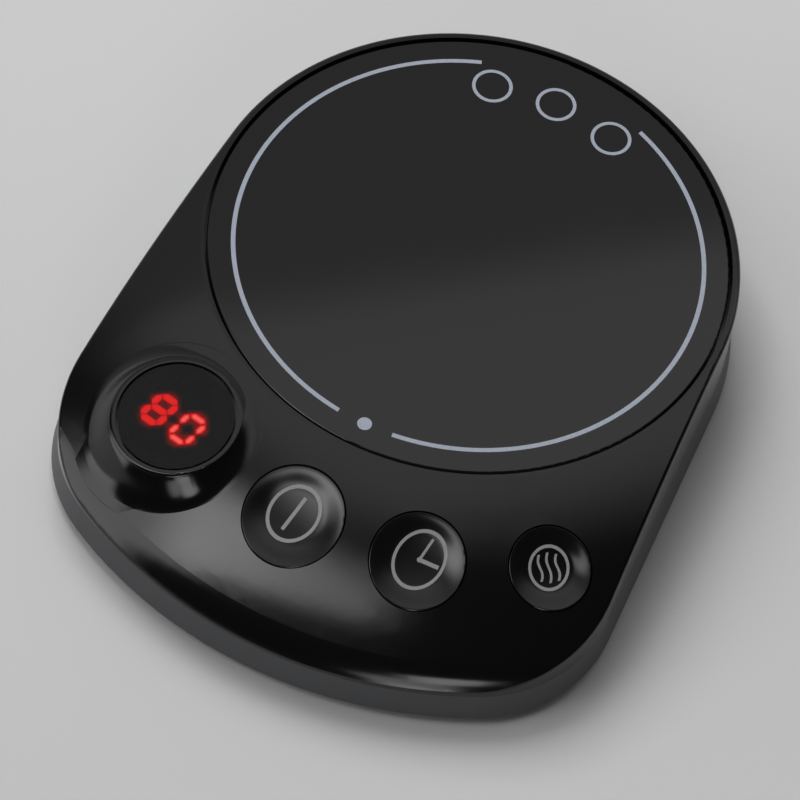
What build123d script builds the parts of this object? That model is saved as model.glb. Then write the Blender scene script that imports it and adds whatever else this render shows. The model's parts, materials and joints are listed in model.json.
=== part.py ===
from build123d import *
import os
from math import acos, asin, atan, atan2, cos, degrees, hypot, pi, radians, sin, sqrt, tan

os.makedirs("parts", exist_ok=True)

# Electric mug warmer. Millimetres, +Z up, the controls face -Y.
# The origin is the centre of the footprint, on the surface that the feet stand on.
# "Plate axis" is the vertical axis of the round glass hotplate.

# ---- plan outline of the housing ----
# It is given at the seam. Lengths "beyond" start at the edge of the hole for the glass.
rear_wall = 2.2           # glass hole to the round back, which is concentric with it
corner_radius = 29.9      # front corners
corner_x = 30.2           # corner centres, to each side of the middle
corner_beyond = 4.0       # corner centres, ahead of the glass hole
front_radius = 93.4       # bowed front edge

# ---- heights ----
foot_height = 2.0         # gap under the case
seam_z = 9.6              # lower edge of the top cover
seam_gap = 0.35           # reveal between cover and case
top_z = 26.0              # rim round the hotplate
deck_edge_z = 14.6        # deck height where it rolls over to the front edge
deck_crown = 1.3          # bulge of the deck arc over its chord
roll_width = 4.6          # plan width of the roll-over
roll_radius = 10.0

# ---- shells ----
wall = 2.2                # top cover
wall_lean = 0.5           # how far the cover walls lean in over their height
edge_round = 1.0          # rounding where deck and wall meet
rim_width = 0.8           # flat rim round the glass
case_wall = 1.9
case_inset = 0.25         # case set in from the cover at the seam
case_flare = 1.4          # case stands out past the cover at its foot
case_floor = 2.0
case_round = 1.0          # rounding under the case
level_limit = 0.5         # a face with less of its normal along Z is a wall
lip_depth = 2.2           # cover lip that reaches down inside the case wall
lip_thickness = 1.3
lip_clearance = 0.15
lip_notch_gap = 0.3       # cover lip to the cord entry pad
lip_root = 1.6            # how far the lip runs up the cover wall

# ---- hotplate stack ----
glass_radius = 54.5
glass_thickness = 4.0
glass_recess = 0.4        # glass lies below the rim
glass_gap = 0.5
glass_edge = 0.5
gasket_thickness = 0.8
gasket_width = 3.2
ledge_width = 5.0
ledge_thickness = 2.2
cup_wall = 1.6            # cylinder that carries the ledge
spreader_thickness = 1.5
spreader_gap = 1.6        # spreader to ledge
heater_thickness = 0.8
heater_margin = 2.0       # spreader edge to heater edge
pad_thickness = 3.0
retainer_thickness = 1.0
retainer_hole = 24.0
retainer_margin = 2.5
tab_width = 6.2
tab_angles = (30.0, 150.0, 270.0)
tab_seat_in = 3.6         # screw circle, in from the cup bore
tab_boss_radius = 2.9

# ---- display pod ----
display_angle = -27.7     # from straight ahead, + to the right
display_beyond = 18.4     # glass hole to display centre
pod_tilt = 8.0            # face leans outwards
pod_face_z = 24.3
lens_radius = 11.8
lens_thickness = 1.4
lens_gap = 0.45
lens_recess = 0.15
lens_seat = 1.3           # width of the seat under the lens
pod_rim = 1.5             # ring of plastic round the lens
pod_edge = 1.0
pod_wall = 0.2            # straight part of the pod side
pod_flare = 4.4           # concave flare at the foot of the pod
pod_apron = 5.0
pod_apron_slope = 22.0
digit_block = (15.6, 11.4, 4.4)
digit_turn = 12.0         # clockwise, from the line front to rear
digits_gap = 0.3          # digits to the face of the lens
shroud_clearance = 0.1
display_board_thickness = 1.2

# ---- push buttons ----
button_travel = 0.6
button_gap = 0.3
dish_margin = 0.3         # cap rim left outside the dish
dish_depth = 1.0
dish_floor_share = 0.61   # flat middle of the dish, of its radius
dish_floor_rise = 0.15    # shallower at the edge of the flat middle
dish_side_share = 0.62    # depth half-way up the side, of the side's depth
sleeve_wall = 1.4
sleeve_end_z = 14.0
flange_gap = 0.3
flange_width = 1.1
flange_thickness = 1.1
cap_wall = 1.3
cap_crown = 2.1           # least plastic over the hollow of a cap
stem_radius = 2.1
stem_end_z = 13.6
# name: angle from straight ahead, distance beyond the glass hole, radius
buttons = {
    "power": (-2.8, 17.9, 10.1),
    "timer": (17.8, 18.5, 9.5),
    "heat": (38.3, 19.6, 8.2),
}

# ---- control board and switches ----
board_thickness = 1.6
control_board_z = 7.2
control_board_inner = 5.5  # beyond the glass hole
control_board_width = 21.5
control_board_start = -45.0
control_board_end = 52.0
board_edge_gap = 4.6      # board to outside of the case
switch_size = 6.2
switch_height = 3.5
switch_well_depth = 2.4
plunger_radius = 1.7
plunger_gap = 0.3
plunger_engaged = 1.3
chip_size = 9.0
chip_height = 1.5
chip_at = (7.2, 13.5)     # angle, distance beyond the glass hole
buzzer_radius = 4.5
buzzer_height = 4.6
buzzer_at = (-17.5, 16.0)
control_posts = ((-39.0, 15.0), (7.2, 24.0), (28.0, 11.0), (47.0, 14.0))

# ---- power board ----
power_board_size = (62.0, 46.0)
power_board_y = 30.0
power_board_z = 6.0
power_post_inset = 4.0
terminal_size = (15.0, 8.0, 6.6)
terminal_at = (-13.0, 46.5)
capacitor_size = (15.0, 8.5, 6.6)
capacitor_at = (-17.5, 33.0)
core_size = (14.0, 11.0, 6.8)
core_at = (3.0, 32.0)
core_leg = 2.6
core_bar = 1.2
coil_bulge = 2.2
coil_round = 1.7
reservoir_radius = 4.0
reservoir_height = 6.8
reservoir_at = (19.0, 34.0)
fuse_radius = 2.0
fuse_length = 10.0
fuse_at = (12.0, 47.0)
fuse_lift = 0.2
triac_body = (10.0, 9.0, 4.4)
triac_tab = (10.0, 15.0, 1.3)
triac_hole = (1.8, 2.8)   # radius, in from the end of the tab
triac_at = (-14.0, 17.5)

# ---- fasteners, posts and feet ----
screw_radius = 1.4
screw_head_radius = 2.7
screw_head_height = 1.6
socket_radius = 1.0
socket_depth = 0.8
post_radius = 2.9
board_screw_length = 4.0
column_radius = 4.3
column_drop = 0.25        # screw columns end below the top of the case
counterbore_radius = 3.3
counterbore_top_z = 5.6
boss_radius = 3.3
screw_bore_gap = 0.3      # clearance bore round a shank
housing_screw_length = 8.0
rear_screw_angle = 45.0   # from straight back
rear_screw_in = 3.6       # in from the glass hole
front_screw_angle = 65.0  # about the corner centre, from straight sideways
front_screw_in = 9.2      # in from the outline
foot_radius = 6.5
foot_socket = 0.8
foot_round = 0.5
foot_gap = 0.1
rear_foot_angle = 23.0    # from straight sideways
rear_foot_in = 13.7       # in from the outline
front_foot_in = 17.1      # in from the widest part of the corner
front_foot_back = 4.0     # behind the corner centres

# ---- cord entry ----
gland_bore = 2.8
gland_radius = 3.8
gland_flange_radius = 4.8
gland_flange = 1.5
gland_recess = 0.9        # gland face behind the case wall
gland_pad = (18.0, 4.2)   # thickened walls that clamp the gland: width, depth
gland_pad_root = 9.0      # how far the pads reach back into the walls
gland_pad_wall = 1.2      # plastic over the gland

# ---- inside the heater stack, from the plate axis ----
lead_reach = 35.0
lead_slot_size = (16.0, 7.0)
fuse_x = -34.0
thermal_fuse_length = 11.0
fuse_room = 0.5
thermistor_y = -14.0
thermistor_radius = 1.3
thermistor_room = 0.3

# ---- leads ----
lead_radius = 0.7
lead_bend = 2.0
heater_lead_x = 5.0
heater_lead_end = 11.0    # y of the solder joints on the power board
ribbon_pitch = 1.6
lead_end_gap = 0.25
lead_rise = 0.6           # height over the board just before a joint
lead_swing = 2.2          # sideways drift of the thermistor leads
hang_z = 10.5             # height of the wires half-way across
drop_z = 14.3             # height where wires leave the heater stack
cable_joint_y = -43.5     # joints on the control board
cable_turn_y = -34.0      # where wires start to settle on it
cable_x = -13.5           # joints of the board cable
cable_gap = 0.4           # board cable to the nearest screw head

# ---- worked out from the sizes above ----
plate_bore = glass_radius + glass_gap
rear_radius = plate_bore + rear_wall
corner_ahead = plate_bore + corner_beyond
front_centre_back = -corner_ahead + sqrt((front_radius - corner_radius) ** 2 - corner_x ** 2)
front_reach = front_radius - front_centre_back
far_reach = max(front_reach, hypot(corner_x, corner_ahead) + corner_radius)
plate_y = (front_reach - rear_radius) / 2
rim_radius = plate_bore + rim_width
cup_radius = plate_bore + cup_wall
glass_top_z = top_z - glass_recess
glass_z = glass_top_z - glass_thickness
ledge_top_z = glass_z - gasket_thickness
ledge_z = ledge_top_z - ledge_thickness
ledge_bore = plate_bore - ledge_width
spreader_radius = ledge_bore - spreader_gap
spreader_z = glass_z - spreader_thickness
heater_radius = spreader_radius - heater_margin
heater_z = spreader_z - heater_thickness
pad_z = heater_z - pad_thickness
retainer_z = pad_z - retainer_thickness
retainer_radius = ledge_bore - retainer_margin
tab_reach = plate_bore - tab_seat_in
pod_radius = lens_radius + lens_gap + pod_rim
control_top_z = control_board_z + board_thickness
power_top_z = power_board_z + board_thickness
floor_z = foot_height + case_floor
case_top_z = seam_z - seam_gap
column_top_z = case_top_z - column_drop
gland_z = seam_z - seam_gap / 2
gland_inner_y = plate_y + rear_radius - case_inset - case_wall - gland_pad[1]
gland_face_y = plate_y + rear_radius - case_inset - gland_recess
gland_back_y = gland_inner_y - gland_flange

# The deck is an arc turned about the plate axis: its circle, in radius and height.
deck_run = far_reach - roll_width - rim_radius
deck_fall = top_z - deck_edge_z
deck_chord = hypot(deck_run, deck_fall)
deck_slope = atan2(deck_fall, deck_run)
deck_radius = (deck_chord ** 2 / 4 + deck_crown ** 2) / (2 * deck_crown)
deck_centre_r = rim_radius + deck_run / 2 - (deck_radius - deck_crown) * sin(deck_slope)
deck_centre_z = top_z - deck_fall / 2 - (deck_radius - deck_crown) * cos(deck_slope)


def deck_z(reach):
    """Height of the deck at a distance from the plate axis."""
    return deck_centre_z + sqrt(deck_radius ** 2 - (reach - deck_centre_r) ** 2)


def deck_angle(reach):
    """Downward slope of the deck, in degrees."""
    return degrees(atan((reach - deck_centre_r) / (deck_z(reach) - deck_centre_z)))


def polar(angle, beyond):
    """Point at an angle from straight ahead (+ to the right), a distance beyond the glass hole."""
    reach = plate_bore + beyond
    return reach * sin(radians(angle)), plate_y - reach * cos(radians(angle))


def at(z, x=0.0, y=0.0):
    return Pos(x, y, z)


def disc(radius, z0, z1, x=0.0, y=0.0):
    """Upright cylinder between two heights."""
    return at((z0 + z1) / 2, x, y) * Cylinder(radius, z1 - z0)


def ring(outer, inner, z0, z1, x=0.0, y=0.0):
    return disc(outer, z0, z1, x, y) - disc(inner, z0, z1, x, y)


def block(size, z0, x=0.0, y=0.0):
    """Box standing on height z0."""
    return at(z0 + size[2] / 2, x, y) * Box(*size)


def both_sides(points):
    """Each point and its mirror across the middle."""
    return [(side * x, y) for x, y in points for side in (-1, 1)]


def outline(inset=0.0):
    """Plan of the housing, moved in by an inset: round back, straight sides, bowed front."""
    rear = rear_radius - inset
    corner = corner_radius - inset
    front = front_radius - inset
    corner_y = plate_y - corner_ahead
    front_y = plate_y + front_centre_back
    side = atan2(-corner_ahead, corner_x)
    side += acos((rear_radius - corner_radius) / hypot(corner_x, corner_ahead))
    turn = atan2(corner_y - front_y, corner_x)
    middle = (side + turn) / 2

    def on(cx, cy, radius, angle, mirror=1):
        return mirror * (cx + radius * cos(angle)), cy + radius * sin(angle)

    def rear_end(mirror):
        return on(0, plate_y, rear, side, mirror)

    def corner_point(angle, mirror):
        return on(corner_x, corner_y, corner, angle, mirror)

    edges = [ThreePointArc(rear_end(-1), (0, plate_y + rear), rear_end(1))]
    edges.append(Line(rear_end(1), corner_point(side, 1)))
    edges.append(ThreePointArc(corner_point(side, 1), corner_point(middle, 1), corner_point(turn, 1)))
    edges.append(ThreePointArc(corner_point(turn, 1), (0, front_y - front), corner_point(turn, -1)))
    edges.append(ThreePointArc(corner_point(turn, -1), corner_point(middle, -1), corner_point(side, -1)))
    edges.append(Line(corner_point(side, -1), rear_end(-1)))
    return make_face(Curve() + edges)


def prism(inset, z0, z1):
    """Upright prism on the plan outline."""
    return at(z0) * extrude(outline(inset), z1 - z0)


def turned(points_face):
    """Turn a face in radius and height about the plate axis."""
    return Pos(0, plate_y, 0) * revolve(points_face, Axis.Z)


def deck_solid(drop):
    """Everything below the deck and its roll-over at the front, lowered by a drop."""
    start = (rim_radius, top_z - drop)
    middle = rim_radius + deck_run / 2 + deck_crown * sin(deck_slope)
    middle_z = top_z - deck_fall / 2 + deck_crown * cos(deck_slope) - drop
    edge = rim_radius + deck_run
    arc = ThreePointArc(start, (middle, middle_z), (edge, deck_edge_z - drop))
    steep = asin((edge - deck_centre_r) / deck_radius)
    steepest = asin(sin(steep) + roll_width / roll_radius)

    def on_roll(slope):
        out = edge + roll_radius * (sin(slope) - sin(steep))
        return out, deck_edge_z - drop - roll_radius * (cos(steep) - cos(slope))

    end = on_roll(steepest)
    roll = ThreePointArc((edge, deck_edge_z - drop), on_roll((steep + steepest) / 2), end)
    past = end[0] + wall
    rest = Polyline(end, (past, end[1]), (past, -wall), (0, -wall), (0, start[1]), start)
    return turned(Plane.XZ * make_face(Curve() + [arc, roll, rest]))


def cover_form(inset, z0):
    """Outer form of the top cover, or with an inset the hollow inside it."""
    lower = at(z0) * outline(inset)
    upper = at(top_z) * outline(inset + wall_lean)
    return loft([lower, upper], ruled=True) & deck_solid(inset)


def shoulder_edges(form):
    """The loop of edges where the deck and its roll-over meet the walls."""
    walls = [face for face in form.faces() if abs(face.normal_at().Z) < level_limit]
    walls = [face for face in walls if face.bounding_box().min.Z < seam_z + wall / 2]
    found = ShapeList()
    for face in walls:
        for edge in face.edges():
            box = edge.bounding_box()
            upright = box.size.Z > max(box.size.X, box.size.Y)
            if not upright and box.min.Z > seam_z + seam_gap / 2:
                found.append(edge)
    return found


def pod_frame():
    """Plane of the display face: x to the right, z out of the face."""
    x, y = polar(display_angle, display_beyond)
    lean = radians(pod_tilt)
    way = radians(display_angle)
    normal = (sin(way) * sin(lean), -cos(way) * sin(lean), cos(lean))
    across = (cos(way), sin(way), 0)
    return Plane(origin=(x, y, pod_face_z), x_dir=across, z_dir=normal)


def pod_solid():
    """Raised round pod with a flared foot, turned about the axis of the display."""
    depth = pod_edge + pod_wall + pod_flare
    foot = pod_radius + pod_flare * (1 - sin(radians(pod_apron_slope)))
    foot_w = -(pod_edge + pod_wall) - pod_flare * cos(radians(pod_apron_slope))
    half = radians(90 - pod_apron_slope) / 2
    mid = pod_radius + pod_flare * (1 - cos(half))
    mid_w = -(pod_edge + pod_wall) - pod_flare * sin(half)
    apron = foot + pod_apron
    apron_w = foot_w - pod_apron * tan(radians(pod_apron_slope))
    corner = pod_radius - pod_edge
    bend = pod_edge * (1 - cos(pi / 4))
    rim = ThreePointArc((corner, 0), (pod_radius - bend, -bend), (pod_radius, -pod_edge))
    side = Line((pod_radius, -pod_edge), (pod_radius, -pod_edge - pod_wall))
    flare = ThreePointArc((pod_radius, -pod_edge - pod_wall), (mid, mid_w), (foot, foot_w))
    base = apron_w - depth
    rest = Polyline((foot, foot_w), (apron, apron_w), (apron, base), (0, base), (0, 0), (corner, 0))
    half_section = Plane.XZ * make_face(Curve() + [rim, side, flare, rest])
    return pod_frame() * revolve(half_section, Axis.Z)


def pod_disc(radius, w0, w1):
    """Cylinder in the frame of the display face."""
    return pod_frame() * Pos(0, 0, (w0 + w1) / 2) * Cylinder(radius, w1 - w0)


def housing_points():
    """Where the housing screws stand."""
    rear = polar(180 - rear_screw_angle, -rear_screw_in)
    from_corner = corner_radius - front_screw_in
    front_x = corner_x + from_corner * cos(radians(front_screw_angle))
    front_y = plate_y - corner_ahead - from_corner * sin(radians(front_screw_angle))
    return both_sides([rear, (front_x, front_y)])


def tab_points():
    return [(tab_reach * cos(radians(a)), plate_y + tab_reach * sin(radians(a))) for a in tab_angles]


def power_posts():
    half_x = power_board_size[0] / 2 - power_post_inset
    half_y = power_board_size[1] / 2 - power_post_inset
    return both_sides([(half_x, power_board_y - half_y), (half_x, power_board_y + half_y)])


def control_post_points():
    return [polar(*spot) for spot in control_posts]


def make_top_cover():
    """Moulded cover: sloping deck round the hotplate, display pod, button wells."""
    form = cover_form(0, seam_z)
    outer = fillet(shoulder_edges(form), edge_round) + (pod_solid() & prism(wall, seam_z + wall, top_z + wall))
    hollow = cover_form(wall, seam_z - wall)
    cover = outer - hollow
    lip_z = case_top_z - lip_depth
    lip_inset = case_inset + case_wall + lip_clearance
    lip_top = seam_z + lip_root
    lip = prism(lip_inset, lip_z, lip_top) + prism(wall / 2, seam_z, lip_top)
    lip -= prism(lip_inset + lip_thickness, lip_z, lip_top)
    lip = lip & (prism(lip_inset, lip_z, seam_z) + form)
    lip -= block((gland_pad[0] + 2 * lip_notch_gap, rear_radius, seam_z - lip_z), lip_z, 0, plate_y + rear_radius)
    for x, y in housing_points():
        lip -= disc(column_radius + lip_notch_gap, lip_z, seam_z, x, y)
    cover += lip
    inside = cover_form(wall / 2, seam_z - wall)
    cover += ring(cup_radius, ledge_bore, ledge_z, ledge_top_z, 0, plate_y) & form
    cover += ring(cup_radius, plate_bore, ledge_z, top_z - wall / 2, 0, plate_y) & form
    cover += gland_block(seam_z, gland_z + gland_radius + gland_pad_wall) & inside
    cover -= gland_rod(gland_radius, gland_inner_y - wall, plate_y + rear_radius + wall)
    for x, y in housing_points():
        cover += disc(boss_radius, column_top_z, top_z, x, y) & inside
    for x, y in tab_points():
        cover += disc(tab_boss_radius, pad_z, ledge_z + wall / 2, x, y)
    for angle, beyond, radius in buttons.values():
        x, y = polar(angle, beyond)
        cover += disc(radius + button_gap + sleeve_wall, sleeve_end_z, top_z, x, y) & inside
    cover -= disc(plate_bore, ledge_top_z, top_z + wall, 0, plate_y)
    cover -= disc(ledge_bore, ledge_z, top_z, 0, plate_y)
    for x, y in tab_points():
        cover -= disc(screw_radius, pad_z, ledge_top_z - wall / 2, x, y)
    for x, y in housing_points():
        cover -= disc(screw_radius, 0, counterbore_top_z + housing_screw_length, x, y)
    for angle, beyond, radius in buttons.values():
        x, y = polar(angle, beyond)
        cover -= disc(radius + button_gap, 0, top_z + wall, x, y)
    cover -= pod_disc(lens_radius + lens_gap, -lens_recess - lens_thickness, wall)
    cover -= pod_disc(lens_radius - lens_seat, -top_z / 2, 0)
    return cover


def make_bottom_case():
    """Tray with flared walls, screw columns, board posts and its half of the cord entry."""
    lower = at(foot_height) * outline(-case_flare)
    upper = at(case_top_z) * outline(case_inset)
    tray = loft([lower, upper], ruled=True)
    tray = fillet(tray.faces().sort_by(Axis.Z)[0].edges(), case_round)
    low_in = at(floor_z) * outline(case_wall - case_flare)
    high_in = at(case_top_z) * outline(case_inset + case_wall)
    case = tray - loft([low_in, high_in], ruled=True)
    case += gland_block(floor_z, case_top_z) & tray
    for x, y in housing_points():
        case += disc(column_radius, floor_z, column_top_z, x, y) & tray
        case -= disc(screw_radius + screw_bore_gap, 0, column_top_z, x, y)
        case -= disc(counterbore_radius, 0, counterbore_top_z, x, y)
    for x, y in power_posts():
        case += disc(post_radius, floor_z, power_board_z, x, y)
        case -= disc(screw_radius, power_top_z - board_screw_length, power_board_z, x, y)
    for x, y in control_post_points():
        case += disc(post_radius, floor_z, control_board_z, x, y)
        case -= disc(screw_radius, control_top_z - board_screw_length, control_board_z, x, y)
    for x, y in feet().values():
        case -= disc(foot_radius + foot_gap, 0, foot_height + foot_socket, x, y)
    return case - gland_rod(gland_radius, gland_inner_y - wall, plate_y + rear_radius + wall)


def gland_block(z0, z1):
    """Thickened wall at the cord entry, between two heights."""
    return block((gland_pad[0], gland_pad_root, z1 - z0), z0, 0, gland_inner_y + gland_pad_root / 2)


def gland_rod(radius, y0, y1):
    """Cylinder along the cord entry."""
    return Pos(0, (y0 + y1) / 2, gland_z) * Rot(90, 0, 0) * Cylinder(radius, y1 - y0)


def feet():
    """Foot centres by name."""
    rear_reach = rear_radius - rear_foot_in
    rear_x = rear_reach * cos(radians(rear_foot_angle))
    rear_y = plate_y + rear_reach * sin(radians(rear_foot_angle))
    front_x = corner_x + corner_radius - front_foot_in
    front_y = plate_y - corner_ahead + front_foot_back
    return {
        "rear_left_foot": (-rear_x, rear_y),
        "rear_right_foot": (rear_x, rear_y),
        "front_left_foot": (-front_x, front_y),
        "front_right_foot": (front_x, front_y),
    }


def make_foot(x, y):
    foot = disc(foot_radius, 0, foot_height + foot_socket, x, y)
    return fillet(foot.edges().group_by(Axis.Z)[0], foot_round)


def screws(points, head_z, length, up=True):
    """Socket screws with the head against height head_z, pointing up or down."""
    way = 1 if up else -1
    made = []
    for x, y in points:
        shank = disc(screw_radius, min(head_z, head_z + way * length), max(head_z, head_z + way * length), x, y)
        head_end = head_z - way * screw_head_height
        head = disc(screw_head_radius, min(head_z, head_end), max(head_z, head_end), x, y)
        drive_end = head_end + way * socket_depth
        drive = disc(socket_radius, min(drive_end, head_end), max(drive_end, head_end), x, y)
        made.append(shank + head - drive)
    return Compound(children=made)


def make_retainer():
    """Pressed ring that holds the heater stack up against the glass."""
    top = retainer_z + retainer_thickness
    plate = disc(retainer_radius, retainer_z, top, 0, plate_y)
    for angle, (x, y) in zip(tab_angles, tab_points()):
        arm = at((retainer_z + top) / 2, x / 2, (plate_y + y) / 2) * Rot(0, 0, angle)
        plate += arm * Box(tab_reach, tab_width, retainer_thickness)
        plate += disc(tab_width / 2, retainer_z, top, x, y)
    plate -= disc(retainer_hole, retainer_z, top, 0, plate_y)
    for x, y in tab_points():
        plate -= disc(screw_radius + lens_gap, retainer_z, top, x, y)
    return plate - lead_slot()


def lead_slot():
    """Opening through pad and retainer where the heater leads come down."""
    return block((*lead_slot_size, pad_thickness + retainer_thickness), retainer_z, 0, plate_y - lead_reach)


def make_pad():
    """Ceramic-wool pad, cut out for the heater leads, the thermal fuse and the thermistor."""
    pad = disc(heater_radius, pad_z, heater_z, 0, plate_y) - lead_slot()
    pad -= block((pad_thickness + fuse_room, thermal_fuse_length + fuse_room, pad_thickness), pad_z, fuse_x, plate_y)
    return pad - disc(thermistor_radius + thermistor_room, pad_z, heater_z, 0, plate_y + thermistor_y)


def make_thermal_fuse():
    """Round cutoff that lies between the heater and the retainer."""
    place = Pos(fuse_x, plate_y, pad_z + pad_thickness / 2) * Rot(90, 0, 0)
    return place * Cylinder(pad_thickness / 2, thermal_fuse_length)


def make_cap(angle, beyond, radius):
    """Push-button cap: top follows the deck, dished to the finger, flanged at its foot."""
    x, y = polar(angle, beyond)
    foot_z = sleeve_end_z - flange_gap - flange_thickness
    cap = disc(radius, foot_z, top_z, x, y) & deck_solid(0)
    cap += disc(radius + flange_width, foot_z, foot_z + flange_thickness, x, y)
    cap -= dish(angle, beyond, radius)
    ceiling = deck_z(plate_bore + beyond + radius) - cap_crown
    cap -= disc(radius - cap_wall, foot_z, ceiling, x, y)
    return cap + disc(stem_radius, stem_end_z, ceiling, x, y)


def dish(angle, beyond, radius):
    """Tool that hollows the top of a cap, turned about the deck's normal."""
    brim = radius - dish_margin
    flat = brim * dish_floor_share
    side_w = dish_floor_rise - dish_depth
    floor = ThreePointArc((0, -dish_depth), (flat / 2, dish_floor_rise / 4 - dish_depth), (flat, side_w))
    side = ThreePointArc((flat, side_w), ((flat + brim) / 2, side_w * dish_side_share), (brim, 0))
    rest = Polyline((brim, 0), (brim, dish_depth), (0, dish_depth), (0, -dish_depth))
    tool = revolve(Plane.XZ * make_face(Curve() + [floor, side, rest]), Axis.Z)
    return button_frame(angle, beyond) * tool


def button_frame(angle, beyond):
    """Plane on the deck at a button: z along the deck's normal."""
    x, y = polar(angle, beyond)
    way = radians(angle)
    lean = radians(deck_angle(plate_bore + beyond))
    normal = (sin(way) * sin(lean), -cos(way) * sin(lean), cos(lean))
    return Plane(origin=(x, y, deck_z(plate_bore + beyond)), x_dir=(cos(way), sin(way), 0), z_dir=normal)


def make_switch(x, y):
    body = block((switch_size, switch_size, switch_height), control_top_z, x, y)
    top = control_top_z + switch_height
    return body - disc(plunger_radius + plunger_gap, top - switch_well_depth, top, x, y)


def make_plunger(x, y):
    return disc(plunger_radius, control_top_z + switch_height - plunger_engaged, stem_end_z, x, y)


def make_control_board():
    """Crescent board that follows the row of controls."""
    inner = plate_bore + control_board_inner
    band = ring(inner + control_board_width, inner, control_board_z, control_top_z, 0, plate_y)
    span = [polar(a, front_radius) for a in (control_board_start, 0, control_board_end)]
    wedge = make_face(Polyline((0, plate_y), *span, (0, plate_y)))
    board = band & (at(control_board_z) * extrude(wedge, board_thickness))
    board &= prism(board_edge_gap, control_board_z, control_top_z)
    for x, y in control_post_points():
        board -= disc(screw_radius, control_board_z, control_top_z, x, y)
    return board


def make_power_board():
    board = block((*power_board_size, board_thickness), power_board_z, 0, power_board_y)
    for x, y in power_posts():
        board -= disc(screw_radius, power_board_z, power_top_z, x, y)
    return board


def make_transformer():
    """Small ferrite core round a wound bobbin."""
    x, y = core_at
    window = (core_size[0] - 2 * core_leg, core_size[1], core_size[2] - 2 * core_bar)
    core = block(core_size, power_top_z, x, y) - block(window, power_top_z + core_bar, x, y)
    coil = block((window[0], window[1] + 2 * coil_bulge, window[2]), power_top_z + core_bar, x, y)
    return core, fillet(coil.edges().filter_by(Axis.X), coil_round)


def make_triac():
    x, y = triac_at
    tab = block(triac_tab, power_top_z, x, y)
    hole_radius, hole_in = triac_hole
    tab -= disc(hole_radius, power_top_z, power_top_z + triac_tab[2], x, y + triac_tab[1] / 2 - hole_in)
    body_y = y - (triac_tab[1] - triac_body[1]) / 2
    return tab + block(triac_body, power_top_z, x, body_y)


def lying(radius, length, z, x, y):
    """Cylinder lying along X."""
    return Pos(x, y, z) * Rot(0, 90, 0) * Cylinder(radius, length)


def make_gland():
    """Rubber bush clamped between cover and case, that the cord passes through."""
    bush = gland_rod(gland_radius, gland_back_y, gland_face_y)
    bush += gland_rod(gland_flange_radius, gland_back_y, gland_inner_y)
    return bush - gland_rod(gland_bore, gland_back_y, gland_face_y)


def lead(points):
    """Round insulated wire: straight runs joined by tangent arcs."""
    line = FilletPolyline(*points, radius=lead_bend)
    section = Plane(origin=line @ 0, z_dir=line % 0) * Circle(lead_radius)
    return sweep(section, line)


def heater_leads():
    """Two wires from the heater, down through the slot and onto the power board."""
    made = []
    slot_y = plate_y - lead_reach
    end_z = power_top_z + lead_radius
    for x in (-heater_lead_x, heater_lead_x):
        route = [(x, slot_y, heater_z - lead_end_gap), (x, slot_y, drop_z)]
        route += [(x, (slot_y + heater_lead_end) / 2 - lead_reach / 8, hang_z)]
        route += [(x, heater_lead_end - lead_reach / 4, end_z + lead_rise), (x, heater_lead_end, end_z)]
        made.append(lead(route))
    return Compound(children=made)


def sensor_leads():
    """Two thin wires from the thermistor to the control board."""
    made = []
    end_z = control_top_z + lead_radius
    start_y = plate_y + thermistor_y
    for side in (-1, 1):
        x = side * ribbon_pitch / 2
        route = [(x, start_y, pad_z - lead_end_gap), (x, start_y - lead_rise, drop_z)]
        route += [(x + lead_swing / 2, (start_y + cable_turn_y) / 2, hang_z)]
        route += [(x + lead_swing, cable_turn_y, end_z + lead_rise), (x + lead_swing, cable_joint_y, end_z)]
        made.append(lead(route))
    return Compound(children=made)


def board_cable():
    """Three wires between the power board and the control board."""
    made = []
    end_z = control_top_z + lead_radius
    start_z = power_top_z + lead_radius
    post_x = power_board_size[0] / 2 - power_post_inset
    start_x = -post_x + screw_head_radius + cable_gap + ribbon_pitch + lead_radius
    front_y = power_board_y - power_board_size[1] / 2
    for place in (-1, 0, 1):
        shift = place * ribbon_pitch
        x = cable_x + shift
        route = [(start_x + shift, front_y + 4 * cable_gap, start_z), (start_x + shift, front_y, start_z + cable_gap)]
        route += [((start_x + x + shift) / 2, (front_y + cable_turn_y) / 2, hang_z)]
        route += [(x, cable_turn_y, end_z + lead_rise), (x, cable_joint_y, end_z)]
        made.append(lead(route))
    return Compound(children=made)


def display_cable():
    """Three wires from the display board down to the control board."""
    made = []
    under = -lead_end_gap - (lens_recess + lens_thickness + digit_block[2] + display_board_thickness)
    foot_z = control_top_z + lead_end_gap
    for place in (-1, 0, 1):
        start = (pod_frame() * Pos(place * ribbon_pitch, 0, under)).position
        x = start.X - lead_rise
        made.append(lead([start, (x, start.Y, (start.Z + foot_z) / 2), (x, start.Y, foot_z)]))
    return Compound(children=made)


def write(name, shape):
    export_step(shape, f"parts/{name}.step")


write("top_cover", make_top_cover())
write("bottom_case", make_bottom_case())

glass = disc(glass_radius, glass_z, glass_top_z, 0, plate_y)
write("glass_plate", fillet(glass.edges().group_by(Axis.Z)[-1], glass_edge))
write("plate_gasket", ring(glass_radius, glass_radius - gasket_width, ledge_top_z, glass_z, 0, plate_y))
write("heat_spreader", disc(spreader_radius, spreader_z, glass_z, 0, plate_y))
write("heating_element", disc(heater_radius, heater_z, spreader_z, 0, plate_y))
write("insulation_pad", make_pad())
write("heater_retainer", make_retainer())
write("retainer_screws", screws(tab_points(), retainer_z, ledge_z + wall / 2 - retainer_z))
write("thermal_fuse", make_thermal_fuse())
write("thermistor", disc(thermistor_radius, pad_z, heater_z, 0, plate_y + thermistor_y))

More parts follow.
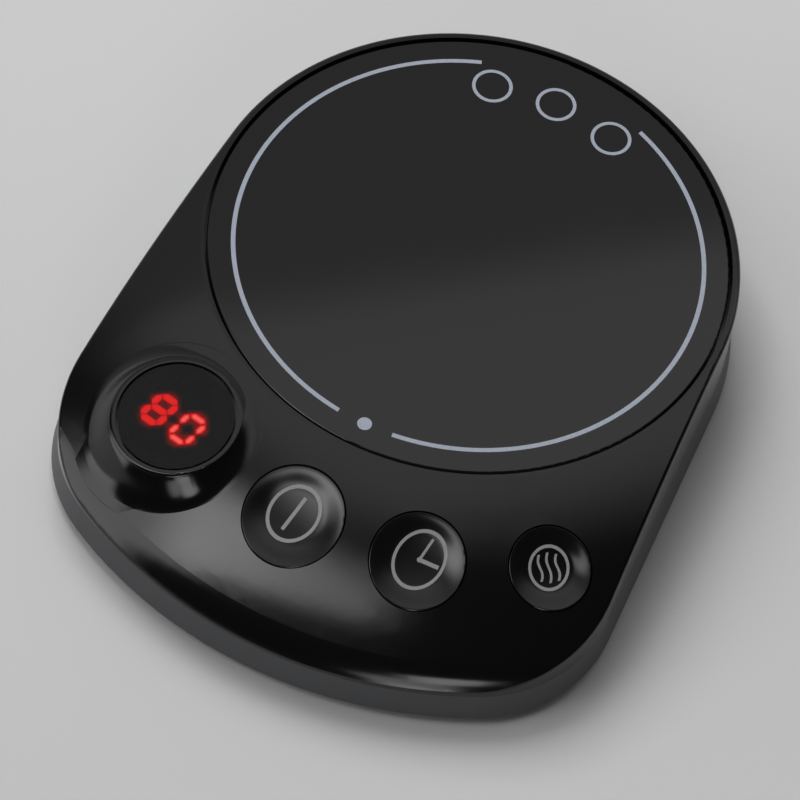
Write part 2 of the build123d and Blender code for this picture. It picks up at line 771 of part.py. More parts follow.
lens_low = -lens_recess - lens_thickness
write("display_lens", pod_disc(lens_radius, lens_low, -lens_recess))
block_low = lens_low - digit_block[2]
upright = pod_frame() * Rot(0, 0, -digit_turn - display_angle)
window = upright * Pos(0, 0, lens_low - digit_block[2] / 2) * Box(*digit_block)
shroud_radius = lens_radius - lens_seat - shroud_clearance
write("display_shroud", pod_disc(shroud_radius, block_low, lens_low) - window)
digits = Box(digit_block[0], digit_block[1], digit_block[2] - digits_gap)
write("segment_display", upright * Pos(0, 0, block_low + (digit_block[2] - digits_gap) / 2) * digits)
write("display_board", pod_disc(shroud_radius, block_low - display_board_thickness, block_low))

write("control_board", make_control_board())
for name, (angle, beyond, radius) in buttons.items():
    spot = polar(angle, beyond)
    write(f"{name}_switch", make_switch(*spot))
    write(f"{name}_plunger", make_plunger(*spot))
    write(f"{name}_button", make_cap(angle, beyond, radius))
write("control_chip", block((chip_size, chip_size, chip_height), control_top_z, *polar(*chip_at)))
write("buzzer", disc(buzzer_radius, control_top_z, control_top_z + buzzer_height, *polar(*buzzer_at)))

write("power_board", make_power_board())
write("terminal_block", block(terminal_size, power_top_z, *terminal_at))
write("mains_capacitor", block(capacitor_size, power_top_z, *capacitor_at))
write("reservoir_capacitor", disc(reservoir_radius, power_top_z, power_top_z + reservoir_height, *reservoir_at))
core, coil = make_transformer()
write("transformer_core", core)
write("transformer_coil", coil)
write("mains_fuse", lying(fuse_radius, fuse_length, power_top_z + fuse_radius + fuse_lift, *fuse_at))
write("triac", make_triac())
write("power_board_screws", screws(power_posts(), power_top_z, board_screw_length, False))
write("control_board_screws", screws(control_post_points(), control_top_z, board_screw_length, False))

write("housing_screws", screws(housing_points(), counterbore_top_z, housing_screw_length))
for name, (x, y) in feet().items():
    write(name, make_foot(x, y))
write("cord_gland", make_gland())

write("heater_leads", heater_leads())
write("sensor_leads", sensor_leads())
write("board_cable", board_cable())
write("display_cable", display_cable())
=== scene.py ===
import json
from math import atan2, ceil, cos, pi, radians, sin, tau

import bmesh
import bpy
from mathutils import Matrix, Vector
from mathutils.bvhtree import BVHTree


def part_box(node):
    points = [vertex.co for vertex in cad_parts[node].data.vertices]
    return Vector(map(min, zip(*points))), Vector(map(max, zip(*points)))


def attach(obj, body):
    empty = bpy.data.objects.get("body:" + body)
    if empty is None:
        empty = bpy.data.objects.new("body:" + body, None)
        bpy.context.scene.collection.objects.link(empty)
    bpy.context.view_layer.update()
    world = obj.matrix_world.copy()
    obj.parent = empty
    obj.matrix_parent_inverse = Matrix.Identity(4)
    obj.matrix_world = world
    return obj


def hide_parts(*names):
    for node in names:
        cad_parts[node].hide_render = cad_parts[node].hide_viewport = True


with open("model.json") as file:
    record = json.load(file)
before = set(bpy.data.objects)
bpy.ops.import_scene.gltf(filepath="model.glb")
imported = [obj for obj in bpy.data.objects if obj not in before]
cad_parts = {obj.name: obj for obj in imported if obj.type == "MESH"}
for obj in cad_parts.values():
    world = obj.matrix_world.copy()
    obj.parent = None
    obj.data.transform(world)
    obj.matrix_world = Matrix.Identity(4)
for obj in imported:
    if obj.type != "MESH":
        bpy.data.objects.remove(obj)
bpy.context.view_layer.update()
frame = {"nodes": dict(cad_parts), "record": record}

# Electric mug warmer: finishes, printed marks, press caps, display pod, lit digits, studio and
# camera. Metres, with Z up and the controls towards minus Y.

MM = 0.001

# ---- where things are, read from the frame ----
glass_low, glass_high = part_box("glass_plate")
glass_centre = (glass_low + glass_high) / 2
glass_centre.z = glass_high.z
lens_low, lens_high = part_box("display_lens")
lens_centre = (lens_low + lens_high) / 2
slot_of = {part["node"]: part["material_slot"] for part in frame["record"]["subparts"]}

# ---- rays and meshes ----
down = Vector((0, 0, -1))
toward_back = Vector((0, 1, 0))
ray_gap = 1 * MM                # a ray starts so far above the face that it looks for
ray_reach = 2 * MM              # the same for flat work that follows its face
merge_gap = 0.001 * MM

# ---- colours that the record leaves to the looks ----
gloss_black = (0.003, 0.003, 0.003)
glass_black = (0.005, 0.005, 0.005)
lens_smoke = (0.06, 0.055, 0.055)
dust_colour = (0.16, 0.155, 0.15)

# ---- printed marks ----
glass_ink_colour = (0.31, 0.34, 0.40)
cap_ink_colour = (0.23, 0.23, 0.225)
ink_thickness = 0.03 * MM
ink_step = 0.35 * MM            # longest edge of a printed line, so that it follows a dish
glass_ring_radius = 49.0 * MM
glass_ring_width = 0.95 * MM
rear_break = radians(22.5)      # half of the gap behind, where the plain rings are
front_break = radians(7.0)      # half of the gap in front
plain_ring_radius = 4.0 * MM
plain_ring_width = 0.75 * MM
plain_ring_reach = 43.0 * MM
plain_ring_angles = (-19.0, 0.0, 19.0)
front_dot_radius = 1.5 * MM
dot_sides = 32

# name: place on the cap (right, up), mean ring radius, line width, oval share, turn of the
# drawing and of the oval, with up towards the hotplate and both turns clockwise from it
marks = {
    "power": ((-0.29 * MM, 0.8 * MM), 5.38 * MM, 0.75 * MM, 1.09, radians(7.4), radians(5.0)),
    "timer": ((0.35 * MM, 0.67 * MM), 5.45 * MM, 0.7 * MM, 1.12, radians(0.0), radians(22.0)),
    "heat": ((-0.1 * MM, 0.48 * MM), 4.12 * MM, 0.62 * MM, 1.07, radians(5.0), radians(17.0)),
}
power_bar = 7.9 * MM
short_hand = (4.1 * MM, radians(104.5), 0.85 * MM)      # length, turn, width
long_hand = (5.0 * MM, radians(24.5), 0.55 * MM)
hand_hub_share = 0.75           # radius of the dot they turn on, of the line width
wave_length = 6.2 * MM
wave_shortening = 0.12          # of the outer two
wave_width_share = 0.8          # of the line width
wave_swing = 0.32 * MM
wave_pitch = 1.75 * MM

# ---- press caps ----
cap_radius = {"power": 10.1 * MM, "timer": 9.5 * MM, "heat": 8.2 * MM}    # as in the CAD
cap_floor_share = 0.57          # flat middle of the dish, of the cap's radius
cap_slope_ease = 0.3            # 0 is a straight slope up to the lip, 1 an S-shaped one
cap_lip = 0.12 * MM             # rim left at the deck's height
cap_trim = 0.04 * MM            # taken off all over, so that the cut has no leftovers
cap_floor_rows = 8
cap_slope_rows = 14
cap_steps = 120
cap_crease = radians(30)        # sharper edges than this are shaded sharp
cutter_height = 5 * MM

# ---- lit digits ----
digit_turn = radians(12.0)
digit_width = 5.6 * MM
digit_height = 7.65 * MM
digit_pitch = 7.3 * MM
segment_width = 1.5 * MM
segment_gap = 0.1 * MM
halo_width = 1.5 * MM
core_inset_share = 0.36         # from a bar's outline in to its core, of its width
digit_shift = (-0.46 * MM, -0.5 * MM)
digit_slant = 0.09              # sideways, for each unit upwards
digit_core = {"8": 0.4, "0": 1.0}      # how pale the middle of its bars is
digit_spill = {"8": 0.8, "0": 1.0}     # how strong the light round them is
digit_segments = {"8": "abcdefg", "0": "abcdef"}
digit_text = "80"
halo_colour = (0.45, 0.0, 0.0)
halo_strength = 7.5
halo_lift = 0.04 * MM           # above the face of the display
bar_edge_colour = (0.78, 0.002, 0.003)
bar_core_colour = (1.0, 0.13, 0.11)
bar_strength = 15.0
bar_lift = 0.1 * MM

# ---- flank of the display pod ----
flank_top = 13.5 * MM           # from the middle of the window
flank_foot = 18.5 * MM
flank_foot_swing = 1.2 * MM     # nearer to the window towards the hotplate
flank_slope = -0.9              # where it leaves the rim of the pod
flank_steps = 160
flank_rows = 18
flank_lift = 0.012 * MM         # least height above the cover
flank_sink = 0.03 * MM          # its edges end so far below the cover
flank_thickness = 0.4 * MM
flank_crease = radians(50)
pod_ray_height = 5 * MM

# ---- camera ----
camera_azimuth = radians(18.53)
camera_elevation = radians(57.14)
camera_roll = radians(9.04)
camera_distance = 745.8 * MM
lens_length = 162.0             # millimetres, as the next
sensor_width = 36.0
render_size = 800
glass_pixel = (469.6, 248.7)    # where the middle of the glass lies in the render

# ---- studio ----
# round boxes: azimuth clockwise from straight behind, elevation, inner and outer edge in
# degrees, level
studio_boxes = (
    (152.0, 27.0, 3.0, 10.0, 3.4),
    (160.0, 13.0, 5.0, 12.0, 2.0),
    (158.0, 0.0, 4.0, 12.0, 2.0),
)
# straight-edged panels: level, then the edges, each a direction that points inwards across
# the edge, and how soft the edge is
panel_front = ((-0.2, 1.0, 0.312), 0.025)
panel_back = ((-0.22, -1.0, -0.185), 0.08)
panel_left = ((1.0, 0.0, 0.5), 0.08)
studio_panels = (
    (2.5, panel_front, panel_back, panel_left, ((-1.0, 0.0, 0.03), 0.07)),
    (1.9, panel_front, panel_back, panel_left, ((-1.0, 0.0, -0.22), 0.15)),
    (
        2.0,
        ((0.242, -0.97, 0.0), 0.09),
        ((-0.766, 0.643, 0.0), 0.07),
        ((-0.75, -0.433, -0.5), 0.1),
        ((0.0, 0.0, 1.0), 0.05),
    ),
)
card_edges = ((-46.0, -0.14, 0.16), (15.0, -0.2, 0.1))     # azimuth square to an edge, its blur
far_card_side = (-0.545, 0.641, -0.541)      # the far card lies on this side of a line
far_card_blur = 0.006
far_card_level = 0.33
near_card_level = 0.76
dark_level = 0.02
backdrop_level = 0.85
key_way = (-0.45, 0.45, 0.9)
key_distance = 1.2
key_size = 0.7
key_strength = 10.0
floor_reach = 3.0
floor_tones = ((0.53, 0.53, 0.535), (0.56, 0.56, 0.565))


# ==== shader graphs ====

class Value:
    """Output of a shader node that takes part in Python expressions."""

    def __init__(self, graph, socket):
        self.graph = graph
        self.socket = socket

    def math(self, operation, *others):
        """Math node on this value and others, or plain numbers."""
        sockets = dict(enumerate((self, *others)))
        return self.graph.node("ShaderNodeMath", {"operation": operation}, sockets)

    def __add__(self, other):
        return self.math("ADD", other)

    def __sub__(self, other):
        return self.math("SUBTRACT", other)

    def __rsub__(self, other):
        return self * -1 + other

    def __mul__(self, other):
        return self.math("MULTIPLY", other)

    __radd__ = __add__
    __rmul__ = __mul__


class Graph:
    """Node tree of a material or of the world."""

    def __init__(self, tree):
        self.tree = tree
        tree.nodes.clear()

    def node(self, kind, settings=None, sockets=None, output=0):
        """Adds a node: first its settings, then the values or links of its sockets."""
        made = self.tree.nodes.new(kind)
        for name, value in (settings or {}).items():
            setattr(made, name, value)
        for name, value in (sockets or {}).items():
            if isinstance(value, Value):
                self.tree.links.new(value.socket, made.inputs[name])
            else:
                made.inputs[name].default_value = value
        return Value(self, made.outputs[output])

    def place(self, scale=(1, 1, 1), turn=(0, 0, 0)):
        """Object coordinates, stretched and turned."""
        where = self.node("ShaderNodeTexCoord", output="Object")
        sockets = {"Vector": where, "Scale": scale, "Rotation": turn}
        return self.node("ShaderNodeMapping", sockets=sockets)

    def noise(self, size, detail=2.0, scale=(1, 1, 1), turn=(0, 0, 0)):
        """Noise with features of about a size in metres, from 0 to 1."""
        return self.node("ShaderNodeTexNoise", sockets={
            "Vector": self.place(scale, turn), "Scale": 1 / size, "Detail": detail})

    def ramp(self, factor, low, high):
        """Smooth step from 0 to 1 between two values."""
        return self.node("ShaderNodeMapRange", {"interpolation_type": "SMOOTHSTEP"}, {
            "Value": factor, "From Min": low, "From Max": high})

    def mix(self, factor, first, second):
        """Colour between two colours. A Mix node for colours has these socket numbers."""
        return self.node("ShaderNodeMix", {"data_type": "RGBA"}, {0: factor, 6: first, 7: second}, 2)

    def bump(self, height, depth, strength):
        """Normal that a height in the range 0 to 1 leaves, with its full depth in metres."""
        sockets = {"Height": height, "Distance": depth, "Strength": strength}
        return self.node("ShaderNodeBump", sockets=sockets)


def rgba(colour, gain=1.0):
    """Colour with its brightness changed and an alpha of 1."""
    return (*(gain * part for part in colour[:3]), 1.0)


def new_material(name):
    """Material and the graph that its finish is written in."""
    material = bpy.data.materials.new(name)
    material.use_nodes = True
    return material, Graph(material.node_tree)


def principled(graph, **sockets):
    """Ends a graph in a Principled shader. An underscore in a name stands for a space."""
    named = {name.replace("_", " "): value for name, value in sockets.items()}
    shader = graph.node("ShaderNodeBsdfPrincipled", sockets=named)
    end = graph.tree.nodes.new("ShaderNodeOutputMaterial")
    graph.tree.links.new(shader.socket, end.inputs["Surface"])


# ==== finishes ====

def polished_plastic(name, colour, roughness):
    """Gloss moulding: faint orange peel, hair-fine rubbing marks, a little uneven polish."""
    material, graph = new_material(name)
    wide = graph.noise(28 * MM)
    rubbing = graph.noise(0.5 * MM, 3.0, (1.0, 0.04, 0.04), (0.2, 0.1, 0.6))
    marks_only = graph.ramp(rubbing, 0.60, 0.78)
    peel = graph.noise(2.2 * MM, 1.0)
    principled(
        graph,
        Base_Color=graph.mix(wide, rgba(colour, 0.9), rgba(colour, 1.12)),
        Roughness=roughness + (wide - 0.5) * 0.05 + marks_only * 0.03,
        IOR=1.5,
        Normal=graph.bump(peel, 0.006 * MM, 0.5),
    )
    return material


def satin_plastic(name, colour, roughness=0.42):
    """Spark-eroded moulding: an even fine grain with slightly shinier crests."""
    material, graph = new_material(name)
    fine = graph.noise(0.35 * MM)
    wide = graph.noise(22 * MM)
    principled(
        graph,
        Base_Color=graph.mix(fine * 0.5 + wide * 0.5, rgba(colour, 0.86), rgba(colour, 1.14)),
        Roughness=roughness + (0.5 - fine) * 0.12,
        IOR=1.5,
        Normal=graph.bump(fine, 0.012 * MM, 0.6),
    )
    return material


def ceramic_glass(name, colour):
    """Polished black glass with the faintest haze of wiping."""
    material, graph = new_material(name)
    haze = graph.noise(16 * MM, 3.0, (1.0, 0.35, 1.0), (0, 0, 0.5))
    principled(
        graph,
        Base_Color=graph.mix(haze, rgba(colour, 0.95), rgba(colour, 1.1)),
        Roughness=0.05 + haze * 0.02,
        IOR=1.52,
    )
    return material


def smoked_window(name, colour):
    """Tinted polished window that lets bright segments through."""
    material, graph = new_material(name)
    haze = graph.noise(6 * MM)
    principled(
        graph,
        Base_Color=graph.mix(haze, rgba(colour, 0.97), rgba(colour, 1.03)),
        Roughness=0.05 + haze * 0.02,
        IOR=1.31,
        Transmission_Weight=1.0,
    )
    return material


def printed_ink(name, colour):
    """Screen-printed line: matt, with slightly uneven cover."""
    material, graph = new_material(name)
    cover = graph.noise(0.25 * MM, 3.0)
    principled(
        graph,
        Base_Color=graph.mix(graph.ramp(cover, 0.3, 0.7), rgba(colour, 0.88), rgba(colour, 1.05)),
        Roughness=0.5 + (cover - 0.5) * 0.2,
        Normal=graph.bump(cover, 0.01 * MM, 0.3),
    )
    return material


def lit_segment(name, edge, core, strength):
    """Lit bar: deep colour at its outline, paler along its middle."""
    material, graph = new_material(name)
    inner = graph.node("ShaderNodeAttribute", {"attribute_name": "core"}, output="Fac")
    glow = graph.ramp(inner, 0.25, 1.0)
    principled(
        graph,
        Base_Color=rgba(edge, 0.3),
        Roughness=0.5 + inner * 0.1,
        Emission_Color=graph.mix(glow, rgba(edge), rgba(core)),
        Emission_Strength=strength,
    )
    return material


def light_halo(name, colour, strength):
    """Spill of light round a lit bar, fading outwards."""
    material, graph = new_material(name)
    inner = graph.node("ShaderNodeAttribute", {"attribute_name": "core"}, output="Fac")
    principled(
        graph,
        Base_Color=rgba(colour, 0.05),
        Roughness=0.6 + inner * 0.1,
        Alpha=graph.ramp(inner, 0.0, 1.0),
        Emission_Color=graph.mix(inner, rgba(colour, 0.5), rgba(colour)),
        Emission_Strength=strength,
    )
    return material


def soft_rubber(name, colour, roughness=0.7):
    """Matt rubber or silicone with dust in its hollows."""
    material, graph = new_material(name)
    grain = graph.noise(0.3 * MM, 3.0)
    dust = graph.ramp(graph.noise(5 * MM, 4.0), 0.5, 0.8)
    principled(
        graph,
        Base_Color=graph.mix(dust * 0.25, rgba(colour), rgba(dust_colour)),
        Roughness=roughness + (grain - 0.5) * 0.15,
        Normal=graph.bump(grain, 0.02 * MM, 0.5),
    )
    return material


def worked_metal(name, colour, roughness=0.35, streak=(1.0, 0.05, 1.0)):
    """Metal with the lay of its working: milled, drawn or plated."""
    material, graph = new_material(name)
    lay = graph.noise(0.4 * MM, 3.0, streak)
    wide = graph.noise(12 * MM)
    principled(
        graph,
        Base_Color=graph.mix(lay, rgba(colour, 0.85), rgba(colour, 1.1)),
        Metallic=1.0,
        Roughness=roughness + (lay - 0.5) * 0.2 + (wide - 0.5) * 0.1,
        Normal=graph.bump(lay, 0.005 * MM, 0.5),
    )
    return material


def pressed_sheet(name, colour, flake=2.5 * MM, contrast=0.25):
    """Mica or fibre board: overlapping flakes of slightly different tone."""
    material, graph = new_material(name)
    sockets = {"Vector": graph.place(), "Scale": 1 / flake}
    cells = graph.node("ShaderNodeTexVoronoi", sockets=sockets, output="Color")
    tone = graph.node("ShaderNodeRGBToBW", sockets={"Color": cells})
    fibre = graph.noise(0.6 * MM, 4.0)
    principled(
        graph,
        Base_Color=graph.mix(tone, rgba(colour, 1 - contrast), rgba(colour, 1 + contrast / 2)),
        Roughness=0.75 + (fibre - 0.5) * 0.3,
        Normal=graph.bump(fibre, 0.05 * MM, 0.6),
    )
    return material


def circuit_board(name, colour):
    """Solder-masked laminate: woven glass shows through the green varnish."""
    material, graph = new_material(name)
    warp, weft = (
        graph.node("ShaderNodeTexWave", {"bands_direction": bands}, {
            "Vector": graph.place(), "Scale": 0.1 / MM, "Distortion": 1.0}, "Fac")
        for bands in "XY")
    weave = (warp + weft) * 0.5
    principled(
        graph,
        Base_Color=graph.mix(weave, rgba(colour, 0.8), rgba(colour, 1.15)),
        Roughness=0.3 + weave * 0.1,
        Normal=graph.bump(weave, 0.01 * MM, 0.4),
    )
    return material


def make_finishes():
    """One finish for each material slot of the record."""
    colour = {row["slot"]: row["base_color"] for row in frame["record"]["materials"]}
    made = {
        "housing_gloss": polished_plastic("housing_gloss", gloss_black, 0.13),
        "button_gloss": polished_plastic("button_gloss", gloss_black, 0.15),
        "case_satin": satin_plastic("case_satin", colour["case_satin"]),
        "black_glass": ceramic_glass("black_glass", glass_black),
        "smoked_lens": smoked_window("smoked_lens", lens_smoke),
        "silicone": soft_rubber("silicone", colour["silicone"], 0.6),
        "foot_rubber": soft_rubber("foot_rubber", colour["foot_rubber"]),
        "lead_sleeve": soft_rubber("lead_sleeve", colour["lead_sleeve"], 0.5),
        "cast_aluminium": worked_metal("cast_aluminium", colour["cast_aluminium"], 0.4),
        "zinc_steel": worked_metal("zinc_steel", colour["zinc_steel"], 0.35, (1, 1, 1)),
        "screw_steel": worked_metal("screw_steel", colour["screw_steel"], 0.3, (1, 1, 0.1)),
        "fuse_metal": worked_metal("fuse_metal", colour["fuse_metal"], 0.25),
        "mica_sheet": pressed_sheet("mica_sheet", colour["mica_sheet"]),
        "wool_board": pressed_sheet("wool_board", colour["wool_board"], 1.2 * MM, 0.1),
        "board_green": circuit_board("board_green", colour["board_green"]),
    }
    for name in colour:
        if name not in made:
            made[name] = satin_plastic(name, colour[name], 0.38)
    return made


def dress_cad_nodes(finishes):
    """Gives each CAD node the finish of its slot."""
    for name, node in frame["nodes"].items():
        for place in node.material_slots:
            place.material = finishes[slot_of[name]]


# ==== seats: a plane on a face, with which way is up ====

class Seat:
    """Plane on a face, found along a ray. Flat work is laid on it and follows the face."""

    def __init__(self, carrier, start, way, up, turn=0.0):
        self.tree = BVHTree.FromObject(carrier, bpy.context.evaluated_depsgraph_get())
        self.origin, self.normal = self.hit(Vector(start), Vector(way))
        flat_up = (Vector(up) - self.normal * Vector(up).dot(self.normal)).normalized()
        self.up = Matrix.Rotation(-turn, 3, self.normal) @ flat_up
        self.right = self.up.cross(self.normal)

    def hit(self, start, way):
        """Where a ray meets the face, and the normal there, turned against the ray."""
        place, normal, _, _ = self.tree.ray_cast(start, way)
        if place is None:
            return start, -way
        if normal.dot(way) > 0:
            normal = -normal
        return place, normal

    def lay(self, shape, follow=True):
        """Moves flat work onto the seat's plane or, straight along its normal, onto the face."""
        for vertex in shape.verts:
            x, y, height = vertex.co
            place = self.origin + self.right * x + self.up * y
            if follow:
                place, _ = self.hit(place + self.normal * ray_reach, -self.normal)
            vertex.co = place + self.normal * height


def seat_on_top(carrier, node_name, up=toward_back):
    """Seat on the upper face of a piece, over the middle of a CAD node."""
    low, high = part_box(node_name)
    middle = (low + high) / 2
    return Seat(carrier, (middle.x, middle.y, high.z + ray_gap), down, up)


# ==== flat work, drawn in a plane with Y up, thickness along Z ====

def thicken(shape, way=(0, 0, ink_thickness)):
    """Closes a sheet into a solid, by the thickness of a coat of ink or another way."""
    grown = bmesh.ops.extrude_face_region(shape, geom=shape.faces[:])
    moved = [item for item in grown["geom"] if isinstance(item, bmesh.types.BMVert)]
    bmesh.ops.translate(shape, vec=way, verts=moved)
    bmesh.ops.recalc_face_normals(shape, faces=shape.faces)


def shade_smooth(shape):
    """Marks every face as part of a rounded surface."""
    for face in shape.faces:
        face.smooth = True


def spin_profile(shape, reaches, centre, steps):
    """Turns points along X, joined up, all the way round a centre."""
    points = [shape.verts.new((reach, 0, 0)) for reach in reaches]
    edges = [shape.edges.new(pair) for pair in zip(points, points[1:])]
    bmesh.ops.spin(
        shape, geom=[*points, *edges], cent=centre, axis=(0, 0, 1), angle=tau, steps=steps,
        use_merge=True)


def join(shape, other):
    """Adds one shape's mesh to another's."""
    mesh = bpy.data.meshes.new("part")
    other.to_mesh(mesh)
    other.free()
    shape.from_mesh(mesh)
    bpy.data.meshes.remove(mesh)


def add_arc(shape, radius, width, start=0.0, turn=tau):
    """Band of ink along an arc."""
    inner = radius - width / 2
    ends = [shape.verts.new((inner, 0, 0)), shape.verts.new((inner + width, 0, 0))]
    edge = shape.edges.new(ends)
    bmesh.ops.rotate(shape, matrix=Matrix.Rotation(start, 3, "Z"), verts=ends)
    steps = max(3, ceil(abs(turn) * radius / ink_step))
    closed = turn >= tau
    bmesh.ops.spin(
        shape, geom=[*ends, edge], cent=(0, 0, 0), axis=(0, 0, 1), angle=turn, steps=steps,
        use_merge=closed)


def add_stroke(shape, length, width, start=(0, 0), turn=0.0, swing=0.0):
    """Straight or wavy line of ink, from its start upwards, turned clockwise."""
    steps = max(4, ceil(length / ink_step))
    made = bmesh.ops.create_grid(shape, x_segments=2, y_segments=steps, size=0.5)["verts"]
    for vertex in made:
        along = vertex.co.y + 0.5
        vertex.co = (vertex.co.x * width + swing * sin(along * tau), along * length, 0)
    bmesh.ops.rotate(shape, matrix=Matrix.Rotation(-turn, 3, "Z"), verts=made)
    bmesh.ops.translate(shape, vec=(*start, 0), verts=made)


def add_dot(shape, radius, centre=(0, 0)):
    """Round dot of ink."""
    made = bmesh.ops.create_circle(shape, cap_ends=True, segments=dot_sides, radius=radius)["verts"]
    bmesh.ops.translate(shape, vec=(*centre, 0), verts=made)


def finished_piece(name, shape, material, body):
    """Makes the object, gives it its finish and lets it ride on a body."""
    mesh = bpy.data.meshes.new(name)
    shape.to_mesh(mesh)
    shape.free()
    piece = bpy.data.objects.new(name, mesh)
    piece.data.materials.append(material)
    bpy.context.scene.collection.objects.link(piece)
    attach(piece, body)
    return piece


def print_glass(ink):
    """Ring round the hotplate, three plain rings behind it and a dot in front."""
    seat = seat_on_top(frame["nodes"]["glass_plate"], "glass_plate")
    shape = bmesh.new()
    sweep = pi - rear_break - front_break
    for start in (-pi / 2 + front_break, pi / 2 + rear_break):
        add_arc(shape, glass_ring_radius, glass_ring_width, start, sweep)
    for angle in plain_ring_angles:
        ring = bmesh.new()
        add_arc(ring, plain_ring_radius, plain_ring_width)
        place = Matrix.Rotation(radians(angle), 3, "Z") @ Vector((0, plain_ring_reach, 0))
        bmesh.ops.translate(ring, vec=place, verts=ring.verts)
        join(shape, ring)
    add_dot(shape, front_dot_radius, (0, -glass_ring_radius))
    thicken(shape)
    seat.lay(shape)
    finished_piece("glass_print", shape, ink, "housing")


def draw_power(shape, width):
    """One upright bar."""
    add_stroke(shape, power_bar, width, (0, -power_bar / 2))


def draw_timer(shape, width):
    """Two clock hands."""
    for length, turn, hand_width in (short_hand, long_hand):
        add_stroke(shape, length, hand_width, (0, 0), turn)
    add_dot(shape, width * hand_hub_share)


def draw_heat(shape, width):
    """Three rising waves."""
    for place in (-1, 0, 1):
        length = wave_length * (1 - wave_shortening * abs(place))
        start = (place * wave_pitch, -length / 2)
        add_stroke(shape, length, width * wave_width_share, start, 0.0, wave_swing)


# ==== press caps ====

def face_height(tree, centre, way, reach):
    """Height of the face straight below a place, which is given from a centre."""
    start = Vector((centre.x + way.x * reach, centre.y + way.y * reach, 1.0))
    place, _, _, _ = tree.ray_cast(start, down)
    return place.z


def dish_height(tree, centre, way, reach, radius):
    """Height of the cut at a reach: the cap's own floor, then an even slope up to its lip."""
    floor_reach = radius * cap_floor_share
    rim_reach = radius - cap_lip
    if reach <= floor_reach:
        return face_height(tree, centre, way, reach)
    share = min((reach - floor_reach) / (rim_reach - floor_reach), 1.0)
    curved = share * share * (3 - 2 * share)
    eased = (1 - cap_slope_ease) * share + cap_slope_ease * curved
    floor = face_height(tree, centre, way, floor_reach)
    lip = face_height(tree, centre, way, rim_reach - cap_lip)
    return floor * (1 - eased) + lip * eased


def dish_cutter(node, centre, radius):
    """Solid above a dish that runs from the flat middle of a cap right out to its lip."""
    tree = BVHTree.FromObject(node, bpy.context.evaluated_depsgraph_get())
    floor_reach = radius * cap_floor_share
    slope_reach = radius - cap_lip - floor_reach
    floor_rows = (floor_reach * row / cap_floor_rows for row in range(cap_floor_rows + 1))
    slope_rows = (slope_reach * (row + 1) / cap_slope_rows for row in range(cap_slope_rows))
    reaches = [*floor_rows, *(floor_reach + rise for rise in slope_rows), radius + cap_lip]
    shape = bmesh.new()
    spin_profile(shape, reaches, (0, 0, 0), cap_steps)
    bmesh.ops.remove_doubles(shape, verts=shape.verts, dist=merge_gap)
    for vertex in shape.verts:
        reach = vertex.co.length
        way = vertex.co.normalized() if reach else Vector((1, 0, 0))
        height = dish_height(tree, centre, way, reach, radius) - cap_trim
        vertex.co = Vector((centre.x + way.x * reach, centre.y + way.y * reach, height))
    thicken(shape, (0, 0, cutter_height))
    shade_smooth(shape)
    mesh = bpy.data.meshes.new("cutter")
    shape.to_mesh(mesh)
    shape.free()
    cutter = bpy.data.objects.new("cutter", mesh)
    bpy.context.scene.collection.objects.link(cutter)
    return cutter


def hollow_cap(name, finish):
    """Press cap whose dish is cut right out to its lip."""
    node = frame["nodes"][f"{name}_button"]
    low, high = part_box(f"{name}_button")
    cutter = dish_cutter(node, (low + high) / 2, cap_radius[name])
    shape = bmesh.new()
    shape.from_mesh(node.data)
    bmesh.ops.remove_doubles(shape, verts=shape.verts, dist=merge_gap)
    piece = finished_piece(f"{name}_cap", shape, finish, f"{name}_key")
    cut = piece.modifiers.new("dish", "BOOLEAN")
    cut.operation = "DIFFERENCE"
    cut.solver = "EXACT"
    cut.object = cutter
    finished = piece.evaluated_get(bpy.context.evaluated_depsgraph_get())
    piece.data = bpy.data.meshes.new_from_object(finished)
    piece.modifiers.clear()
    piece.data.shade_smooth()
    piece.data.set_sharp_from_angle(angle=cap_crease)
    bpy.data.meshes.remove(cutter.data)         # and the cutter with it
    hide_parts(f"{name}_button")
    return piece


def print_caps(ink, caps):
    """Drawing of each cap in its oval ring, laid in the dish."""
    drawings = {"power": draw_power, "timer": draw_timer, "heat": draw_heat}
    for name, (place, radius, width, oval, turn, oval_turn) in marks.items():
        low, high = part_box(f"{name}_button")
        seat = seat_on_top(caps[name], f"{name}_button", glass_centre - (low + high) / 2)
        ring = bmesh.new()
        add_arc(ring, radius, width)
        to_oval = Matrix.Rotation(oval_turn, 4, "Z")
        bmesh.ops.scale(ring, vec=(1 / oval, oval, 1), space=to_oval, verts=ring.verts)
        shape = bmesh.new()
        drawings[name](shape, width)
        bmesh.ops.rotate(shape, matrix=Matrix.Rotation(-turn, 3, "Z"), verts=shape.verts)
        join(shape, ring)
        bmesh.ops.translate(shape, vec=(*place, 0), verts=shape.verts)
        thicken(shape)
        seat.lay(shape)
        finished_piece(f"{name}_mark", shape, ink, f"{name}_key")


# ==== display pod ====

